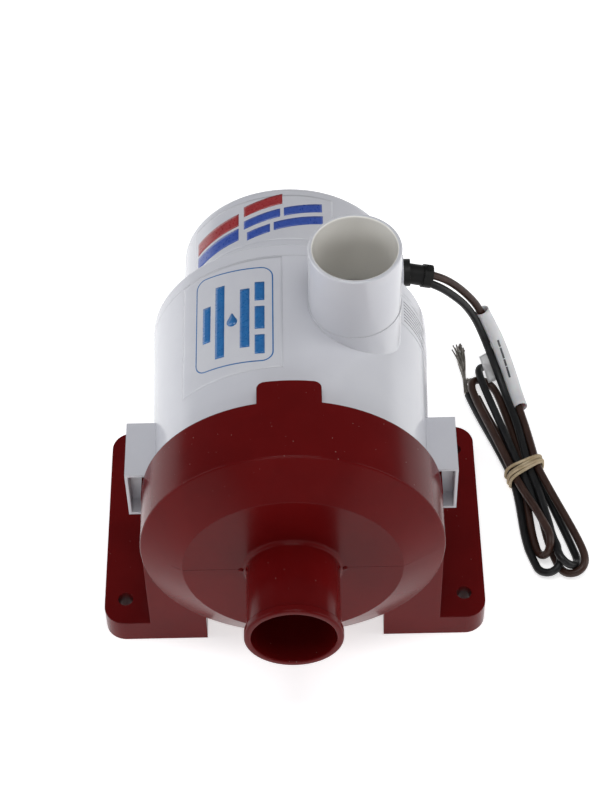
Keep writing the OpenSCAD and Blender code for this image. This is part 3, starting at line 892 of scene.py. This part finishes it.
def mottled(look, dark, light, scale, rough_low, rough_high, grain, depth, rounded=0.0):
    """Cloudy colour between two tones, uneven gloss and a fine grain."""
    cloud = look.noise(scale, 4)
    look.set("Base Color", look.mixed(look.ranged(cloud, 0.35, 0.65, 0, 1), dark, light))
    look.set("Roughness", look.ranged(look.noise(scale * 2.3, 2), 0.3, 0.7, rough_low, rough_high))
    look.bump(look.noise(grain, 2), depth, 1.0, rounded)
    return look


def red_look():
    """Glossy dark red moulding, a little translucent, with specks of dust on what faces up."""
    look = Look(
        "red_moulding", IOR=1.45, Specular_IOR_Level=0.12, Subsurface_Weight=0.15,
        Subsurface_Radius=(1.0, 0.12, 0.08), Subsurface_Scale=0.003,
    )
    cloud = look.ranged(look.noise(28, 4), 0.35, 0.65, 0, 1)
    red = look.mixed(cloud, (0.098, 0.0030, 0.0034), (0.122, 0.0042, 0.0045))
    cells = look.node("ShaderNodeTexVoronoi", {"Vector": look.place, "Scale": 520, "Randomness": 1})
    chosen = look.math("GREATER_THAN", look.noise(900, 0), 0.68)
    speck = look.math("LESS_THAN", cells.outputs["Distance"], 0.13)
    normal = look.node("ShaderNodeTexCoord").outputs["Normal"]
    facing_up = look.node("ShaderNodeSeparateXYZ", {"Vector": normal}).outputs[2]
    dusty = look.math("MULTIPLY", look.math("MULTIPLY", chosen, speck),
                      look.ranged(facing_up, 0.3, 0.8, 0, 0.7))
    look.set("Base Color", look.mixed(dusty, red, (0.30, 0.17, 0.15)))
    uneven = look.ranged(look.noise(60, 3), 0.3, 0.7, 0.17, 0.24)
    look.set("Roughness", look.math("ADD", uneven, look.math("MULTIPLY", dusty, 0.5)))
    look.bump(look.noise(1400, 2), 0.000012, 1.0, rounded=0.0007)
    return look


def white_look():
    """Cool white glossy moulding, with painted light: the discharge's bore is lighter and warmer
    inside.
    """
    look = Look("white_moulding", IOR=1.5, Coat_Weight=0.25, Coat_Roughness=0.08,
                Subsurface_Weight=0.06, Subsurface_Radius=(1, 0.95, 0.9), Subsurface_Scale=0.002)
    cloud = look.ranged(look.noise(22, 4), 0.35, 0.65, 0, 1)
    white = look.mixed(cloud, (0.605, 0.61, 0.655), (0.64, 0.645, 0.68))
    split = look.node("ShaderNodeSeparateXYZ", {"Vector": look.place})
    x = look.math("SUBTRACT", split.outputs[0], DISCHARGE_X)
    y = look.math("SUBTRACT", split.outputs[1], DISCHARGE_Y + RIM_Y)
    from_bore = look.math("SQRT", look.math("ADD", look.math("MULTIPLY", x, x),
                                            look.math("MULTIPLY", y, y)))
    # Painted light: inside the bore, above its lower end, the white is painted lighter and warmer,
    # for light shining through the plastic.
    inside = look.ranged(from_bore, BORE_R + 0.0006, BORE_R + 0.0002, 0, 1)
    above = look.ranged(split.outputs[2], AXIS_Z + 0.020, AXIS_Z + 0.024, 0, 1)
    look.set("Base Color", look.mixed(
        look.math("MULTIPLY", inside, above), white, (0.93, 0.91, 0.86)
    ))
    look.set("Roughness", look.ranged(look.noise(30, 2), 0.3, 0.7, 0.20, 0.25))
    look.bump(look.noise(1200, 2), 0.00001, 1.0, rounded=0.0006)
    return look


def pvc_look(name, dark, light):
    """Lead insulation: satin, with faint drag lines and scuffs."""
    look = Look(name, IOR=1.5, Specular_IOR_Level=0.3)
    scuffs = look.ranged(look.noise(350, 4, stretch=(1, 0.25, 1)), 0.45, 0.75, 0, 1)
    look.set("Base Color", look.mixed(scuffs, dark, light))
    look.set("Roughness", look.ranged(look.noise(500, 3), 0.3, 0.7, 0.28, 0.46))
    look.bump(look.noise(1500, 3), 0.00003)
    return look


def rubber_look(name, dark, light, roughness=0.7):
    look = Look(name, IOR=1.45)
    return mottled(look, dark, light, 180, roughness - 0.1, roughness + 0.08, 1600, 0.00003)


def metal_look(name, dark, light, roughness, stretch, scale=220.0):
    """Drawn or turned metal, with fine lines along one direction."""
    look = Look(name, metallic=1.0)
    lines = look.noise(scale, 5, 0.6, stretch)
    look.set("Base Color", look.mixed(look.ranged(lines, 0.35, 0.65, 0, 1), dark, light))
    look.set("Roughness", look.ranged(lines, 0.3, 0.7, roughness - 0.07, roughness + 0.1))
    look.bump(lines, 0.00003)
    return look


SHEET = 0.0005


def laminated_look():
    """Thin steel sheets stacked along Y."""
    look = Look("core_laminations", metallic=1.0)
    y = look.node("ShaderNodeSeparateXYZ", {"Vector": look.place}).outputs[1]
    sheet = look.math("FRACT", look.math("MULTIPLY", y, 1 / SHEET))
    seam = look.ranged(sheet, 0.78, 0.9, 0, 1)
    look.set("Base Color", look.mixed(seam, (0.34, 0.35, 0.37), (0.08, 0.08, 0.09)))
    look.set("Roughness", look.ranged(look.noise(300), 0.3, 0.7, 0.35, 0.5))
    look.bump(seam, 0.00004, -1.0)
    return look


def wound_look():
    """Enamelled copper wire laid side by side along the slots."""
    look = Look("copper_windings", metallic=0.9, Coat_Weight=0.5, Coat_Roughness=0.15)
    wave = look.node("ShaderNodeTexWave", {
        "Vector": look.place, "Scale": 420, "Distortion": 0.6, "Detail": 2,
    }, bands_direction="DIAGONAL").outputs["Fac"]
    look.set("Base Color", look.mixed(wave, (0.30, 0.09, 0.035), (0.62, 0.24, 0.10)))
    look.set("Roughness", look.ranged(look.noise(200), 0.3, 0.7, 0.22, 0.36))
    look.bump(wave, 0.0001)
    return look


def print_look(name, dark, light):
    """Ink on a sticker, a little uneven."""
    return mottled(Look(name, Coat_Weight=0.3, Coat_Roughness=0.08), dark, light, 400, 0.25, 0.35,
                   1500, 0.00001)


def make_looks():
    red_look().cover("base_cover", "latch_finger_left", "latch_finger_right", "mould_marks")
    white_look().cover("pump_housing", "motor_cap")
    mottled(Look("suction_plastic"), (0.50, 0.50, 0.52), (0.58, 0.58, 0.60), 40, 0.35, 0.5,
            1300, 0.00002, 0.0004).cover("suction_plate", "diffuser", "motor_canister",
                                         "brush_holders")
    mottled(Look("impeller_plastic"), (0.030, 0.032, 0.036), (0.045, 0.047, 0.052), 60, 0.3, 0.45,
            1300, 0.00002, 0.0004).cover("impeller")
    rubber_look("nitrile_rubber", (0.012, 0.012, 0.013), (0.02, 0.02, 0.021), 0.6).cover(
        "housing_o_ring", "canister_o_ring", "shaft_seals", "slinger")
    mottled(Look("black_moulding", Specular_IOR_Level=0.25), (0.007, 0.007, 0.007),
            (0.012, 0.012, 0.011), 120, 0.38, 0.55, 1300, 0.00004, 0.0004).cover(
        "cable_grommet", "grommet_clamp")
    metal_look("stainless_steel", (0.48, 0.48, 0.47), (0.62, 0.62, 0.61), 0.26, (1, 0.1, 1)).cover(
        "impeller_washer", "impeller_screw", "shaft", "thrust_washers", "through_bolts",
        "brush_springs")
    metal_look("can_steel", (0.42, 0.43, 0.44), (0.55, 0.56, 0.57), 0.34, (1, 0.1, 1)).cover(
        "flux_can")
    metal_look("die_cast_zinc", (0.36, 0.37, 0.38), (0.46, 0.47, 0.48), 0.42, (1, 1, 1), 400).cover(
        "front_end_plate", "rear_end_bell")
    metal_look("sintered_bronze", (0.40, 0.22, 0.09), (0.58, 0.35, 0.16), 0.4, (1, 1, 1), 900).cover(
        "front_bush", "rear_bush")
    metal_look("bar_copper", (0.60, 0.24, 0.12), (0.72, 0.33, 0.19), 0.24, (1, 0.1, 1)).cover(
        "commutator", "terminals")
    laminated_look().cover("armature_core")
    wound_look().cover("windings")
    mottled(Look("ferrite"), (0.035, 0.034, 0.034), (0.055, 0.053, 0.052), 90, 0.55, 0.75, 900,
            0.00006).cover("magnets")
    mottled(Look("carbon_graphite"), (0.022, 0.022, 0.024), (0.04, 0.04, 0.043), 150, 0.4, 0.6,
            1100, 0.00004).cover("brushes")
    pvc_look("brown_insulation", (0.036, 0.0165, 0.0115), (0.060, 0.030, 0.022)).cover(
        "lead_brown", "internal_lead_brown", "lead_brown_cord")
    pvc_look("black_insulation", (0.0085, 0.0085, 0.009), (0.018, 0.018, 0.0185)).cover(
        "lead_black", "internal_lead_black", "lead_black_cord", "lead_hank")
    rubber_look("band_rubber", (0.38, 0.29, 0.17), (0.54, 0.44, 0.29), 0.6).cover(
        "rubber_band", "rubber_band_turns")
    metal_look("tinned_wire", (0.20, 0.18, 0.155), (0.50, 0.47, 0.43), 0.34, (1, 0.3, 1), 700).cover(
        "bare_ends", "wires_black_end", "wires_brown_end")
    mottled(Look("sleeve_plastic", Subsurface_Weight=0.15, Subsurface_Scale=0.001),
            (0.66, 0.66, 0.67), (0.74, 0.74, 0.745), 90, 0.32, 0.45, 1300, 0.00002).cover(
        "label_sleeve", "sleeve_white")
    mottled(Look("film_flap", Transmission_Weight=0.45, IOR=1.4), (0.80, 0.80, 0.80),
            (0.86, 0.86, 0.86), 120, 0.3, 0.45, 1300, 0.00002).cover("sleeve_flap")
    mottled(Look("sticker_film", Coat_Weight=0.15, Coat_Roughness=0.08), (0.605, 0.61, 0.655),
            (0.64, 0.645, 0.68), 60, 0.20, 0.26, 300, 0.00002).cover(
        "housing_label_film", "cap_sticker_film", "side_sticker_film")
    print_look("print_bright_blue", (0.012, 0.125, 0.36), (0.016, 0.155, 0.42)).cover(
        "housing_label_print")
    print_look("print_blue", (0.030, 0.075, 0.36), (0.040, 0.095, 0.42)).cover("cap_sticker_blue")
    print_look("print_red", (0.31, 0.022, 0.026), (0.37, 0.030, 0.034)).cover("cap_sticker_red")
    print_look("print_grey", (0.05, 0.05, 0.055), (0.10, 0.10, 0.105)).cover(
        "side_sticker_lines", "sleeve_lines")


make_looks()

# ---- Floor, light ----

FLOOR_HALF = 3.0
FLOOR_DROP = 0.0002
FLOOR_GLOW = 0.6
WORLD_COLOUR = (0.96, 0.97, 1.0, 1)
WORLD_STRENGTH = 0.2
LIGHTS_AIM = Vector((0, 0, 0.06))


def make_stage():
    bpy.context.scene.view_settings.view_transform = "Standard"
    mesh = bpy.data.meshes.new("floor")
    corners = [(FLOOR_HALF * x, FLOOR_HALF * y, 0) for x, y in ((-1, -1), (1, -1), (1, 1), (-1, 1))]
    mesh.from_pydata(corners, [], [(0, 1, 2, 3)])
    floor = link(bpy.data.objects.new("floor", mesh))
    floor.location.z = -FLOOR_DROP
    look = Look("pale_floor", roughness=0.7)
    look.set("Base Color", look.mixed(look.noise(3), (0.90, 0.90, 0.905), (0.93, 0.93, 0.935)))
    look.shader.inputs["Emission Color"].default_value = (1, 1, 1, 1)
    look.shader.inputs["Emission Strength"].default_value = FLOOR_GLOW
    mesh.materials.append(look.material)
    world = bpy.data.worlds.new("studio")
    bpy.context.scene.world = world
    world.use_nodes = True
    background = world.node_tree.nodes["Background"]
    background.inputs["Color"].default_value = WORLD_COLOUR
    background.inputs["Strength"].default_value = WORLD_STRENGTH


def area_light(name, place, size, energy, colour=(1, 1, 1)):
    data = bpy.data.lights.new(name, "AREA")
    data.shape = "RECTANGLE"
    data.size, data.size_y = size
    data.energy = energy
    data.color = colour
    light = link(bpy.data.objects.new(name, data))
    light.location = place
    light.rotation_mode = "QUATERNION"
    light.rotation_quaternion = (LIGHTS_AIM - Vector(place)).to_track_quat("-Z", "Y")


make_stage()
area_light("top_panel", (0.0, -0.15, 1.25), (0.7, 0.5), 4.6)
area_light("left_panel", (-0.95, 0.05, 0.45), (0.5, 0.9), 3.3, (0.94, 0.96, 1.0))
area_light("right_panel", (0.95, 0.0, 0.45), (0.5, 0.9), 3.0)
area_light("front_panel", (0.0, -1.25, 0.6), (0.9, 0.35), 3.0)
